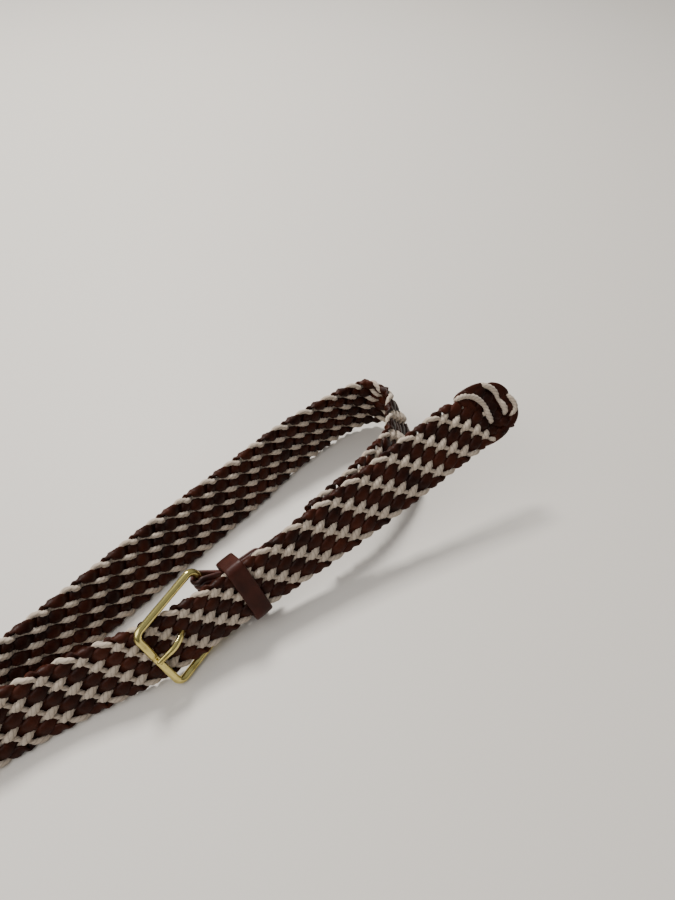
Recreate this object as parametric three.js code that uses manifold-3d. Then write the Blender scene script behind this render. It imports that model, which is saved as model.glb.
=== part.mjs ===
// A flat braided belt, fastened, standing on its lower edge as a narrow closed loop. The free end runs
// through a brass heel-bar buckle and a leather keeper and lifts off the floor towards its rounded tip.
// Millimetres, +Z up. X runs along the loop towards the tip, -Y is the side that the buckle faces.
import * as THREE from 'three';
import { mergeVertices } from 'three/addons/utils/BufferGeometryUtils.js';
import Module from 'manifold-3d';

const wasm = await Module();
wasm.setup();

// Plan of the loop
const loopLength = 400;
const loopDepth = 80;

// Braided strap
const strapWidth = 35;
const strapThickness = 4.5;
const strapStep = 5;
const tipRounding = 15;
const tipEndShare = 0.25;
const floorFlat = 0.7;

// Clearances
const layerGap = 0.5;
const contactGap = 0.65;
const twistClearance = 0.9;
const tunnelClearance = 0.35;

// Brass buckle
const barRadius = 1.9;
const buckleLength = 40;
const buckleInside = 33.8;
const cornerRadius = 4;
const buckleSkew = 10;
const buckleRaise = 0.9;
const prongAside = 1.2;
const heelAlong = -0.289;
const seatWidth = 4.4;
const seatDepth = 0.5;

// Brass prong
const prongWidth = 2.8;
const prongHeight = 2.3;
const prongRingWall = 1.4;
const prongRingWidth = 4.4;

// Leather fold round the heel bar
const foldThickness = 2.2;
const foldWidth = 28;
const foldTail = 30;
const slotWidth = 6.4;
const slotReach = 6.5;
const foldEndGap = 1.1;
const outerLegShares = [0, 0.2, 0.4, 0.6, 0.8];
const wrapSteps = 12;
const wrapStepDegrees = 20;
const tailShares = [0.29, 0.45, 0.7, 1];

// Leather keeper
const keeperWidth = 9.8;
const keeperWall = 1.6;
const keeperClearance = 0.6;
const keeperSlack = 1.5;
const keeperTuck = 2.9;
const keeperInside = strapWidth - keeperTuck;
const keeperCorner = 1.5;
const keeperFromHeel = 14.4;
const keeperSkew = 5;

// The strap's route. along and aside place its lower edge in plan, as shares of loopLength and
// loopDepth. lift is the lower edge's height, leanX and leanY how far the upper edge stands off it in
// plan, and width the strap's width there, all as shares of strapWidth.
const routeColumns = ['along', 'aside', 'lift', 'leanX', 'leanY', 'width'];

// Right bend, far stretch and left bend
const loopRoute = readTable(routeColumns, [
  [0.083, -0.385, 0.20, -0.22, 0.38, 1.00],
  [0.108, -0.240, 0.20, -0.28, 0.32, 1.00],
  [0.104, -0.070, 0.15, -0.22, 0.26, 1.00],
  [0.080, 0.055, 0.09, -0.10, 0.18, 1.00],
  [0.025, 0.095, 0.05, -0.04, 0.17, 1.00],
  [-0.070, 0.025, 0.02, -0.08, 0.32, 1.00],
  [-0.160, -0.095, 0.00, -0.12, 0.46, 1.00],
  [-0.300, -0.250, 0.00, -0.12, 0.53, 1.00],
  [-0.430, -0.385, 0.00, -0.09, 0.48, 1.00],
  [-0.567, -0.500, 0.00, -0.06, 0.43, 1.00],
  [-0.690, -0.530, 0.00, -0.02, 0.42, 1.00],
  [-0.790, -0.480, 0.00, 0.00, 0.40, 1.00],
  [-0.850, -0.430, 0.00, 0.02, 0.38, 1.00],
  [-0.895, -0.490, 0.00, 0.06, 0.38, 1.00],
  [-0.912, -0.650, 0.00, 0.08, 0.40, 1.00],
  [-0.897, -0.800, 0.00, 0.05, 0.42, 1.00],
]);

// Near stretch, through buckle and keeper to the tip
const frontRoute = readTable(routeColumns, [
  [-0.850, -0.860, 0.00, 0.02, 0.44, 1.00],
  [-0.780, -0.810, 0.00, 0.02, 0.46, 1.00],
  [-0.690, -0.775, 0.00, 0.02, 0.48, 1.00],
  [-0.567, -0.765, 0.00, 0.02, 0.50, 1.00],
  [-0.476, -0.800, 0.03, 0.01, 0.52, 0.97],
  [-0.400, -0.856, 0.115, -0.02, 0.47, 0.90],
  [-0.340, -0.880, 0.19, -0.05, 0.45, 0.86],
  [-0.280, -0.880, 0.25, -0.07, 0.49, 0.84],
  [-0.215, -0.883, 0.30, -0.08, 0.52, 0.86],
  [-0.122, -0.895, 0.41, -0.10, 0.54, 0.97],
  [-0.025, -0.910, 0.62, -0.12, 0.59, 1.00],
  [0.070, -0.920, 0.88, -0.14, 0.64, 1.00],
  [0.150, -0.935, 1.10, -0.14, 0.68, 1.00],
  [0.196, -0.955, 1.20, -0.14, 0.70, 1.00],
]);

// The strap's other end runs behind the near stretch: along as above, layers is how far it lies
// behind, in strap thicknesses from middle to middle.
const innerRoute = readTable(['along', 'layers'], [
  [-0.145, 1.00],
  [-0.100, 1.45],
  [-0.050, 2.40],
  [-0.005, 3.90],
  [0.035, 5.90],
]);

// Section of the strap and of the fold: across as a share of the width, deep of the thickness
const stripSection = readTable(['across', 'deep'], [
  [-0.455, -0.50],
  [0.455, -0.50],
  [0.500, -0.28],
  [0.500, 0.28],
  [0.455, 0.50],
  [-0.455, 0.50],
  [-0.500, 0.28],
  [-0.500, -0.28],
]);

// The prong's middle line, seen along the heel bar: reach is the way from heel bar to outer bar as a
// share of buckleLength, rise its height over the frame in prong heights, slim its thickness there.
const prongRoute = readTable(['reach', 'rise', 'slim'], [
  [-0.03, 1.45, 1.00],
  [0.12, 1.42, 1.00],
  [0.34, 1.25, 1.00],
  [0.52, 1.15, 1.00],
  [0.62, 1.50, 1.00],
  [0.70, 2.05, 1.00],
  [0.78, 2.20, 0.97],
  [0.90, 1.88, 0.92],
  [1.00, 1.58, 0.86],
  [1.045, 1.45, 0.70],
]);

const brass = new THREE.MeshStandardMaterial({ color: 0xc8b25a, metalness: 1, roughness: 0.28 });
const braid = new THREE.MeshStandardMaterial({ color: 0x5b3a30, roughness: 0.62 });
const leather = new THREE.MeshStandardMaterial({ color: 0x3a1511, roughness: 0.5 });

function readTable(names, rows) {
  return rows.map((row) => Object.fromEntries(names.map((name, i) => [name, row[i]])));
}

// Steps a point away from an origin along unit directions
function offset(origin, ...steps) {
  const point = origin.clone();
  for (const [direction, distance] of steps) point.addScaledVector(direction, distance);
  return point;
}

// A row of the route as a place on the strap's middle line with the direction across it
function stationOf(row) {
  const leanZ = Math.sqrt(1 - row.leanX ** 2 - row.leanY ** 2);
  const across = new THREE.Vector3(row.leanX, row.leanY, leanZ);
  const lower = new THREE.Vector3(row.along * loopLength, row.aside * loopDepth, row.lift * strapWidth);
  const width = row.width * strapWidth;
  return { mid: offset(lower, [across, width / 2]), across, width };
}

function blend(a, b, share) {
  return {
    mid: a.mid.clone().lerp(b.mid, share),
    across: a.across.clone().lerp(b.across, share).normalize(),
    width: THREE.MathUtils.lerp(a.width, b.width, share),
  };
}

// Smooth run through all stations, with the same number of steps between each two
function smoothRun(stations, stepsPerSpan = 16) {
  const flat = stations.map((s) => [...s.mid.toArray(), ...s.across.toArray(), s.width]);
  const first = flat[0].map((value, k) => 2 * value - flat[1][k]);
  const last = flat.at(-1).map((value, k) => 2 * value - flat.at(-2)[k]);
  const line = [first, ...flat, last];
  const run = [];
  for (let i = 1; i < line.length - 2; i++) {
    for (let step = 0; step < stepsPerSpan; step++) {
      run.push(catmullRom(line[i - 1], line[i], line[i + 1], line[i + 2], step / stepsPerSpan));
    }
  }
  run.push(flat.at(-1));
  return run.map((values) => ({
    mid: new THREE.Vector3(...values.slice(0, 3)),
    across: new THREE.Vector3(...values.slice(3, 6)).normalize(),
    width: values[6],
  }));
}

function catmullRom(before, start, end, after, t) {
  return start.map((value, k) => 0.5 * (2 * value + (end[k] - before[k]) * t
    + (2 * before[k] - 5 * value + 4 * end[k] - after[k]) * t ** 2
    + (3 * value - before[k] - 3 * end[k] + after[k]) * t ** 3));
}

// The same run in even steps of about the given length
function evenRun(run, spacing) {
  const reach = [0];
  for (let i = 1; i < run.length; i++) reach.push(reach[i - 1] + run[i].mid.distanceTo(run[i - 1].mid));
  const count = Math.round(reach.at(-1) / spacing);
  const even = [];
  let i = 0;
  for (let k = 0; k <= count; k++) {
    const goal = (reach.at(-1) * k) / count;
    while (i < run.length - 2 && reach[i + 1] < goal) i++;
    const share = (goal - reach[i]) / (reach[i + 1] - reach[i]);
    even.push({ ...blend(run[i], run[i + 1], share), reach: goal });
  }
  return even;
}

// Adds the direction of travel and the outward normal, which is the belt's outer face
function withFrames(run) {
  return run.map((station, i) => {
    const before = run[Math.max(i - 1, 0)].mid;
    const after = run[Math.min(i + 1, run.length - 1)].mid;
    const tangent = after.clone().sub(before).normalize();
    const normal = tangent.clone().cross(station.across).normalize();
    return { ...station, tangent, normal };
  });
}

// The place on the near stretch at a given distance along X
function placeAt(run, along) {
  const i = run.findIndex((station) => station.mid.x > along) - 1;
  const share = (along - run[i].mid.x) / (run[i + 1].mid.x - run[i].mid.x);
  const place = blend(run[i], run[i + 1], share);
  const tangent = run[i].tangent.clone().lerp(run[i + 1].tangent, share).normalize();
  const normal = tangent.clone().cross(place.across).normalize();
  return { ...place, tangent, normal };
}

// Closed solid through rings of equally many points, each running anticlockwise round the way ahead
function loft(rings, closed = false) {
  const size = rings[0].length;
  const index = [];
  const spans = closed ? rings.length : rings.length - 1;
  for (let i = 0; i < spans; i++) {
    const here = i * size;
    const there = ((i + 1) % rings.length) * size;
    for (let j = 0; j < size; j++) {
      const k = (j + 1) % size;
      index.push(here + j, here + k, there + k, here + j, there + k, there + j);
    }
  }
  if (!closed) {
    const last = (rings.length - 1) * size;
    for (let j = 1; j < size - 1; j++) {
      index.push(0, j + 1, j);
      index.push(last, last + j, last + j + 1);
    }
  }
  const places = rings.flat().flatMap((point) => point.toArray());
  const geometry = new THREE.BufferGeometry();
  geometry.setAttribute('position', new THREE.Float32BufferAttribute(places, 3));
  geometry.setIndex(index);
  return geometry;
}

function stripRing(place, width, thickness) {
  return stripSection.map(({ across, deep }) => offset(place.mid,
    [place.across, across * width],
    [place.normal, deep * thickness]));
}

function toSolid(geometry) {
  const bare = geometry.clone();
  bare.deleteAttribute('normal');
  bare.deleteAttribute('uv');
  const merged = mergeVertices(bare, 1e-4);
  return new wasm.Manifold(new wasm.Mesh({
    numProp: 3,
    vertProperties: merged.attributes.position.array,
    triVerts: Uint32Array.from(merged.index.array),
  }));
}

function toGeometry(solid) {
  const mesh = solid.getMesh();
  const geometry = new THREE.BufferGeometry();
  geometry.setAttribute('position', new THREE.Float32BufferAttribute(mesh.vertProperties, 3));
  geometry.setIndex(Array.from(mesh.triVerts));
  return geometry;
}

// Geometry drawn in a local plane, moved to an origin with the given axes
function placed(geometry, origin, x, y, z) {
  const matrix = new THREE.Matrix4().makeBasis(x, y, z).setPosition(origin);
  return geometry.applyMatrix4(matrix);
}

// The near stretch alone, from which the buckle, the fold and the inner end take their places
const nearRun = withFrames(evenRun(smoothRun(frontRoute.map(stationOf)), strapStep / 2));

// The inner end lies behind the near stretch
const innerStations = innerRoute.map((row) => {
  const front = placeAt(nearRun, row.along * loopLength);
  const behind = row.layers * (strapThickness + layerGap);
  return { mid: offset(front.mid, [front.normal, -behind]), across: front.across, width: strapWidth };
});

const strapRun = withFrames(evenRun(smoothRun([
  ...innerStations,
  ...loopRoute.map(stationOf),
  ...frontRoute.map(stationOf),
]), strapStep));

// Buckle: over the heel bar lies the fold and then the near stretch, and the outer bar lies over that
const heelToStrap = barRadius + contactGap + foldThickness + layerGap + twistClearance + strapThickness / 2;
const strapToOuter = strapThickness / 2 + contactGap + twistClearance + barRadius;
const buckleRun = Math.sqrt(buckleLength ** 2 - (heelToStrap + strapToOuter) ** 2);
const heelPlace = placeAt(nearRun, heelAlong * loopLength);
const outerPlace = placeAt(nearRun, heelAlong * loopLength - buckleRun);
const buckle = buckleAxes();
const prongEye = offset(buckle.heel, [buckle.across, prongAside]);

function buckleAxes() {
  const heel = offset(heelPlace.mid, [heelPlace.normal, -heelToStrap]);
  const outer = offset(outerPlace.mid, [outerPlace.normal, strapToOuter]);
  const inward = heel.clone().sub(outer).normalize();
  const across = heelPlace.across.clone().add(outerPlace.across);
  across.addScaledVector(inward, -across.dot(inward)).normalize();
  const normal = inward.clone().cross(across);
  const turn = THREE.MathUtils.degToRad(buckleSkew);
  inward.applyAxisAngle(normal, turn);
  across.applyAxisAngle(normal, turn);
  const centre = offset(heel.add(outer).multiplyScalar(0.5), [across, buckleRaise]);
  return {
    inward,
    across,
    normal,
    heel: offset(centre, [inward, buckleLength / 2]),
    outer: offset(centre, [inward, -buckleLength / 2]),
    centre,
  };
}

function makeStrap() {
  const total = strapRun.at(-1).reach;
  const rings = strapRun.map((place) => {
    const fromTip = total - place.reach;
    const round = Math.min(fromTip / tipRounding, 1);
    const share = Math.max(Math.sqrt(1 - (1 - round) ** 2), tipEndShare);
    return stripRing(place, place.width * share, strapThickness);
  });
  const floor = new THREE.BoxGeometry(3 * loopLength, 3 * loopLength, strapWidth);
  floor.translate(0, 0, lowestOf(rings) + floorFlat - strapWidth / 2);
  return toSolid(loft(rings)).subtract(toSolid(floor)).subtract(toSolid(makeProngArm(tunnelClearance)));
}

function lowestOf(rings) {
  return Math.min(...rings.flat().map((point) => point.z));
}

function makeFrame() {
  const halfLength = buckleLength / 2;
  const halfWidth = buckleInside / 2 + barRadius;
  const corners = [
    { u: halfLength, v: halfWidth, from: 0 },
    { u: -halfLength, v: halfWidth, from: 90 },
    { u: -halfLength, v: -halfWidth, from: 180 },
    { u: halfLength, v: -halfWidth, from: 270 },
  ];
  const cornerSteps = 6;
  const barSides = 14;
  const rings = corners.flatMap(({ u, v, from }) => {
    const turns = Array.from({ length: cornerSteps + 1 }, (_, k) => from + (90 * k) / cornerSteps);
    return turns.map((degrees) => {
      const angle = THREE.MathUtils.degToRad(degrees);
      const out = offset(new THREE.Vector3(),
        [buckle.inward, Math.cos(angle)],
        [buckle.across, Math.sin(angle)]);
      const centre = offset(buckle.centre,
        [buckle.inward, u - Math.sign(u) * cornerRadius],
        [buckle.across, v - Math.sign(v) * cornerRadius],
        [out, cornerRadius]);
      return Array.from({ length: barSides }, (_, k) => {
        const side = (2 * Math.PI * k) / barSides;
        return offset(centre, [buckle.normal, barRadius * Math.cos(side)], [out, barRadius * Math.sin(side)]);
      });
    });
  });
  const seat = placed(new THREE.BoxGeometry(4 * barRadius, seatWidth, 2 * barRadius),
    offset(buckle.outer, [buckle.across, prongAside], [buckle.normal, 2 * barRadius - seatDepth]),
    buckle.inward, buckle.across, buckle.normal);
  return toSolid(loft(rings, true)).subtract(toSolid(seat));
}

// The prong's arm, made fatter by a clearance where it cuts its way through the braid
function makeProngArm(clearance = 0) {
  const line = new THREE.CatmullRomCurve3(prongRoute.map(({ reach, rise }) => offset(prongEye,
    [buckle.inward, -reach * buckleLength],
    [buckle.normal, rise * prongHeight])));
  const steps = 36;
  const sides = 10;
  const rings = Array.from({ length: steps + 1 }, (_, i) => {
    const share = i / steps;
    const centre = line.getPoint(share);
    const up = line.getTangent(share).cross(buckle.across).negate();
    const row = Math.min(Math.floor(share * (prongRoute.length - 1)), prongRoute.length - 2);
    const within = share * (prongRoute.length - 1) - row;
    const slim = THREE.MathUtils.lerp(prongRoute[row].slim, prongRoute[row + 1].slim, within);
    return Array.from({ length: sides }, (_, k) => {
      const angle = (2 * Math.PI * k) / sides;
      return offset(centre,
        [buckle.across, -Math.cos(angle) * (slim * prongWidth / 2 + clearance)],
        [up, Math.sin(angle) * (slim * prongHeight / 2 + clearance)]);
    });
  });
  return loft(rings);
}

function makeProng() {
  const ringInside = barRadius + contactGap;
  const ringOutside = ringInside + prongRingWall;
  const sides = 28;
  const ring = new THREE.CylinderGeometry(ringOutside, ringOutside, prongRingWidth, sides);
  const bore = new THREE.CylinderGeometry(ringInside, ringInside, 2 * prongRingWidth, sides);
  for (const cylinder of [ring, bore]) {
    placed(cylinder, prongEye, buckle.inward, buckle.across, buckle.normal);
  }
  return toSolid(ring).add(toSolid(makeProngArm())).subtract(toSolid(bore));
}

// Leather strips from the braid's end, round the heel bar and back along the inner side
function makeFold() {
  const legDepth = strapThickness / 2 + layerGap + foldThickness / 2;
  const tailDepth = legDepth + foldThickness + layerGap;
  const start = innerRoute[0].along * loopLength - foldEndGap;
  const heelX = heelAlong * loopLength;
  const leg = (along, depth) => {
    const front = placeAt(nearRun, along);
    return { mid: offset(front.mid, [front.normal, -depth]), across: front.across, width: foldWidth };
  };
  const outerLeg = outerLegShares.map((share) => leg(THREE.MathUtils.lerp(start, heelX, share), legDepth));
  const wrapRadius = barRadius + contactGap + foldThickness / 2;
  const wrap = Array.from({ length: wrapSteps }, (_, k) => {
    const angle = THREE.MathUtils.degToRad(wrapStepDegrees * k);
    return {
      mid: offset(buckle.heel, [buckle.normal, wrapRadius * Math.cos(angle)],
        [buckle.inward, -wrapRadius * Math.sin(angle)]),
      across: buckle.across,
      width: foldWidth,
    };
  });
  const tail = tailShares.map((share) => leg(heelX + share * foldTail, tailDepth));
  const run = withFrames([...outerLeg, ...wrap, ...tail]);
  const rings = run.map((place) => stripRing(place, place.width, foldThickness));
  const slot = placed(new THREE.BoxGeometry(2 * slotReach, slotWidth, 4 * wrapRadius),
    prongEye, buckle.inward, buckle.across, buckle.normal);
  return toSolid(loft(rings)).subtract(toSolid(slot));
}

function roundedRectangle(path, halfWidth, low, high, radius) {
  path.moveTo(-halfWidth + radius, low);
  path.lineTo(halfWidth - radius, low);
  path.absarc(halfWidth - radius, low + radius, radius, -Math.PI / 2, 0);
  path.absarc(halfWidth - radius, high - radius, radius, 0, Math.PI / 2);
  path.absarc(-halfWidth + radius, high - radius, radius, Math.PI / 2, Math.PI);
  path.absarc(-halfWidth + radius, low + radius, radius, Math.PI, 1.5 * Math.PI);
  path.closePath();
  return path;
}

function makeKeeper() {
  const place = placeAt(nearRun, heelAlong * loopLength + keeperFromHeel);
  const high = strapThickness / 2 + keeperClearance;
  const stack = strapThickness + 2 * layerGap + 2 * foldThickness + layerGap;
  const low = high - stack - 2 * keeperClearance - keeperSlack;
  const halfWidth = keeperInside / 2;
  const outside = roundedRectangle(new THREE.Shape(),
    halfWidth + keeperWall, low - keeperWall, high + keeperWall, keeperCorner + keeperWall);
  outside.holes.push(roundedRectangle(new THREE.Path(), halfWidth, low, high, keeperCorner));
  const extrusion = { depth: keeperWidth, curveSegments: 5, bevelEnabled: false };
  const ring = new THREE.ExtrudeGeometry(outside, extrusion);
  const turn = THREE.MathUtils.degToRad(keeperSkew);
  const ahead = place.across.clone().cross(place.normal).applyAxisAngle(place.normal, turn);
  const across = place.across.clone().applyAxisAngle(place.normal, turn);
  return toSolid(placed(ring, offset(place.mid, [ahead, -keeperWidth / 2]), across, place.normal, ahead));
}

const pieces = [
  { name: 'braided_strap', solid: makeStrap(), material: braid },
  { name: 'buckle_fold', solid: makeFold(), material: leather },
  { name: 'buckle_frame', solid: makeFrame(), material: brass },
  { name: 'prong', solid: makeProng(), material: brass },
  { name: 'keeper', solid: makeKeeper(), material: leather },
];

const belt = new THREE.Group();
for (const { name, solid, material } of pieces) {
  const mesh = new THREE.Mesh(toGeometry(solid), material);
  mesh.name = name;
  belt.add(mesh);
}

// The origin is under the middle of the whole belt, on the floor
const box = new THREE.Box3().setFromObject(belt);
const centre = box.getCenter(new THREE.Vector3());
for (const mesh of belt.children) mesh.geometry.translate(-centre.x, -centre.y, -box.min.z);

export default belt;
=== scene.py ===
import bpy
import numpy as np
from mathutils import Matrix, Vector


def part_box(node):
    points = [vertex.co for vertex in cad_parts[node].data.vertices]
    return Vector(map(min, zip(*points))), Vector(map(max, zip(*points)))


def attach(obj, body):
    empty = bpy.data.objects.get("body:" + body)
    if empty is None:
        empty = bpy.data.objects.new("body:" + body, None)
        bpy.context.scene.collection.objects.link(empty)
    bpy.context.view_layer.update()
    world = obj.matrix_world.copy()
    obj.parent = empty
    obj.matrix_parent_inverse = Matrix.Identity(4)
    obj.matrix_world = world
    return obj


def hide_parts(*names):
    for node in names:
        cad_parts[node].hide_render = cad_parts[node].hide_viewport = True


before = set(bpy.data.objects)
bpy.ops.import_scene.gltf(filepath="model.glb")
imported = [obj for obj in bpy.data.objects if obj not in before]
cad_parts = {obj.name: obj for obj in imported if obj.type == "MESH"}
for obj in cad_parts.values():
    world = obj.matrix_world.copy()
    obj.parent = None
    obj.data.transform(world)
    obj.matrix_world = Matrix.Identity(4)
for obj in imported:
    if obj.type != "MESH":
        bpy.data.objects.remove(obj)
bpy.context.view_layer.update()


# --- Camera: the photograph's eye, above and to the right of the buckle side, with a phone's wide lens.
# The focal length is a share of the picture's height.
EYE = Vector((-0.02471, -0.19724, 0.31773))
LOOK = Vector((0.40269, 0.53439, -0.74314))
SENSOR_HEIGHT = 36.0
FOCAL_SHARE = 676 / 900
NEAREST_SEEN = 0.01

camera_data = bpy.data.cameras.new("camera")
camera_data.sensor_fit = "VERTICAL"
camera_data.sensor_height = SENSOR_HEIGHT
camera_data.lens = SENSOR_HEIGHT * FOCAL_SHARE
camera_data.clip_start = NEAREST_SEEN
camera = bpy.data.objects.new("camera", camera_data)
camera.location = EYE
camera.rotation_euler = LOOK.to_track_quat("-Z", "Y").to_euler()
bpy.context.scene.collection.objects.link(camera)
bpy.context.scene.camera = camera


# --- Floor: a large sheet of smooth pale board that takes the belt's soft shadow. It has a faint cloudy
# tint and hardly any texture.
FLOOR_HALF = 3.0
FLOOR_CORNERS = ((-1, -1), (1, -1), (1, 1), (-1, 1))
FLOOR_COLOUR = (0.715, 0.67, 0.61)
FLOOR_TINTED = (0.96 * 0.715, 0.955 * 0.67, 0.95 * 0.61)
FLOOR_CLOUDS = 2.2


def new_material(name):
    """A node material, its node tree and its Principled shader."""
    material = bpy.data.materials.new(name)
    material.use_nodes = True
    return material, material.node_tree, material.node_tree.nodes["Principled BSDF"]


def feed(tree, node, inputs):
    """Gives each of these inputs of a node either another node's output or a fixed value."""
    for socket, value in inputs.items():
        if isinstance(value, bpy.types.NodeSocket):
            tree.links.new(value, node.inputs[socket])
        else:
            node.inputs[socket].default_value = value


def add(tree, kind, inputs=None, **settings):
    """A new shader node with its settings and its inputs."""
    node = tree.nodes.new("ShaderNode" + kind)
    for key, value in settings.items():
        setattr(node, key, value)
    feed(tree, node, inputs or {})
    return node


def blended(tree, share, low, high):
    """A colour between two others, by a share that changes over the surface."""
    return add(tree, "Mix", {0: share, 6: low, 7: high}, data_type="RGBA").outputs[2]


board = bpy.data.meshes.new("floor")
board.from_pydata([(x * FLOOR_HALF, y * FLOOR_HALF, 0) for x, y in FLOOR_CORNERS], [], [(0, 1, 2, 3)])
board.update()
floor = bpy.data.objects.new("floor", board)
bpy.context.scene.collection.objects.link(floor)
floor_paint, tree, shader = new_material("pale_board")
cloudy = add(tree, "TexNoise", {"Scale": FLOOR_CLOUDS, "Detail": 2.0})
tint = blended(tree, cloudy.outputs["Fac"], (*FLOOR_COLOUR, 1), (*FLOOR_TINTED, 1))
feed(tree, shader, {"Base Color": tint, "Roughness": 0.55})
floor.data.materials.append(floor_paint)


# --- Light: a small soft window behind the belt and a wide pale fill from the upper left, in a room that
# is pale overhead and dim round the horizon. The brass shows the dim part as dark streaks.
BELT_MIDDLE = Vector((0.0, 0.0, 0.02))
LAMPS = [
    # name, direction from the belt, distance, width and height, watts, colour
    ("window", (0.22, 0.66, 0.80), 1.6, (0.34, 0.26), 30, (1.0, 0.985, 0.95)),
    ("ceiling", (-0.80, 0.10, 1.0), 1.25, (1.5, 1.2), 13.5, (1.0, 0.985, 0.965)),
]
ROOM_DIM = (0.28, 0.27, 0.25)
ROOM_PALE = (0.95, 0.97, 1.0)
ROOM_STOPS = (0.10, 0.55)
ROOM_STRENGTH = 0.37


def ramp(tree, source, stops, low=(0, 0, 0), high=(1, 1, 1)):
    """A run of colours from low to high, which are reached at the two stops."""
    node = add(tree, "ValToRGB", {"Fac": source})
    for element, stop, colour in zip(node.color_ramp.elements, stops, (low, high)):
        element.position = stop
        element.color = (*colour, 1)
    return node.outputs["Color"]


for name, direction, distance, size, watts, colour in LAMPS:
    lamp = bpy.data.lights.new(name, "AREA")
    lamp.shape = "RECTANGLE"
    lamp.size, lamp.size_y = size
    lamp.energy = watts
    lamp.color = colour
    holder = bpy.data.objects.new(name, lamp)
    toward = Vector(direction).normalized()
    holder.location = BELT_MIDDLE + toward * distance
    holder.rotation_euler = toward.to_track_quat("Z", "Y").to_euler()
    bpy.context.scene.collection.objects.link(holder)

world = bpy.data.worlds.new("pale_room")
world.use_nodes = True
room = world.node_tree
place_on = add(room, "TexCoord")
upward = add(room, "SeparateXYZ", {0: place_on.outputs["Generated"]})
paleness = ramp(room, upward.outputs["Z"], ROOM_STOPS, ROOM_DIM, ROOM_PALE)
feed(room, room.nodes["Background"], {"Color": paleness, "Strength": ROOM_STRENGTH})
bpy.context.scene.world = world


# --- Braided strap: twelve strands, six flat strips of waxed dark brown leather and six twisted cream
# cotton cords by turns, in a flat plait. The strand at the upper edge crosses the eleven others to the
# lower edge, over and under by turns, while they move up by one place.
MM = 0.001
LOOP_LENGTH = 400 * MM
LOOP_DEPTH = 80 * MM
STRAP_WIDTH = 35 * MM
STRAP_THICKNESS = 4.5 * MM
LAYER_GAP = 0.5 * MM
TIP_ROUNDING = 15.5 * MM
# The solid of the strap: corners of its bevelled section, as shares of its width and of its thickness,
# and how much of its lower edge is pressed flat on the floor
STRAP_SECTION = ((0.455, 0.50), (0.500, 0.28))
FLOOR_FLAT = 0.7 * MM
ROUTE_STEPS = 16
RUN_SPACING = 1.0 * MM

# The strap's lower edge in plan (along, aside), its height (lift), where the upper edge stands off it
# (leanX, leanY) and the width. Along is a share of the loop's length, aside of its depth, lift and width
# of the strap's width. Just before the buckle the braid lies a little lower than its solid.
LOOP_ROUTE = np.array([
    # along, aside, lift, leanX, leanY, width
    (0.083, -0.385, 0.20, -0.22, 0.38, 1.00),
    (0.108, -0.240, 0.20, -0.28, 0.32, 1.00),
    (0.104, -0.070, 0.15, -0.22, 0.26, 1.00),
    (0.080, 0.055, 0.09, -0.10, 0.18, 1.00),
    (0.025, 0.095, 0.05, -0.04, 0.17, 1.00),
    (-0.070, 0.025, 0.02, -0.08, 0.32, 1.00),
    (-0.160, -0.095, 0.00, -0.12, 0.46, 1.00),
    (-0.300, -0.250, 0.00, -0.12, 0.53, 1.00),
    (-0.430, -0.385, 0.00, -0.09, 0.48, 1.00),
    (-0.567, -0.500, 0.00, -0.06, 0.43, 1.00),
    (-0.690, -0.530, 0.00, -0.02, 0.42, 1.00),
    (-0.790, -0.480, 0.00, 0.00, 0.40, 1.00),
    (-0.850, -0.430, 0.00, 0.02, 0.38, 1.00),
    (-0.895, -0.490, 0.00, 0.06, 0.38, 1.00),
    (-0.912, -0.650, 0.00, 0.08, 0.40, 1.00),
    (-0.897, -0.800, 0.00, 0.05, 0.42, 1.00),
])
FRONT_ROUTE = np.array([
    # along, aside, lift, leanX, leanY, width
    (-0.850, -0.860, 0.00, 0.02, 0.44, 1.00),
    (-0.780, -0.810, 0.00, 0.02, 0.46, 1.00),
    (-0.690, -0.775, 0.00, 0.02, 0.48, 1.00),
    (-0.567, -0.765, 0.00, 0.02, 0.50, 1.00),
    (-0.476, -0.800, 0.015, 0.01, 0.52, 0.985),
    (-0.400, -0.856, 0.055, -0.02, 0.47, 0.965),
    (-0.340, -0.880, 0.120, -0.05, 0.45, 0.93),
    (-0.280, -0.880, 0.25, -0.07, 0.49, 0.84),
    (-0.215, -0.883, 0.30, -0.08, 0.52, 0.86),
    (-0.122, -0.895, 0.41, -0.10, 0.54, 0.97),
    (-0.025, -0.910, 0.62, -0.12, 0.59, 1.00),
    (0.070, -0.920, 0.88, -0.14, 0.64, 1.00),
    (0.150, -0.935, 1.10, -0.14, 0.68, 1.00),
    (0.196, -0.955, 1.20, -0.14, 0.70, 1.00),
])
INNER_ROUTE = [
    # along, layers behind the near stretch
    (-0.145, 1.00),
    (-0.100, 1.45),
    (-0.050, 2.40),
    (-0.005, 3.90),
    (0.035, 5.90),
]


def unit(v):
    return v / np.linalg.norm(v, axis=-1, keepdims=True)


def stations(route):
    """Rows of the route as middle point (3), direction across (3) and width (1)."""
    along, aside, lift, lean_x, lean_y, width = route.T
    across = np.stack([lean_x, lean_y, np.sqrt(1 - lean_x ** 2 - lean_y ** 2)], -1)
    lower = np.stack([along * LOOP_LENGTH, aside * LOOP_DEPTH, lift * STRAP_WIDTH], -1)
    width = width[:, None] * STRAP_WIDTH
    return np.hstack([lower + across * width / 2, across, width])


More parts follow.
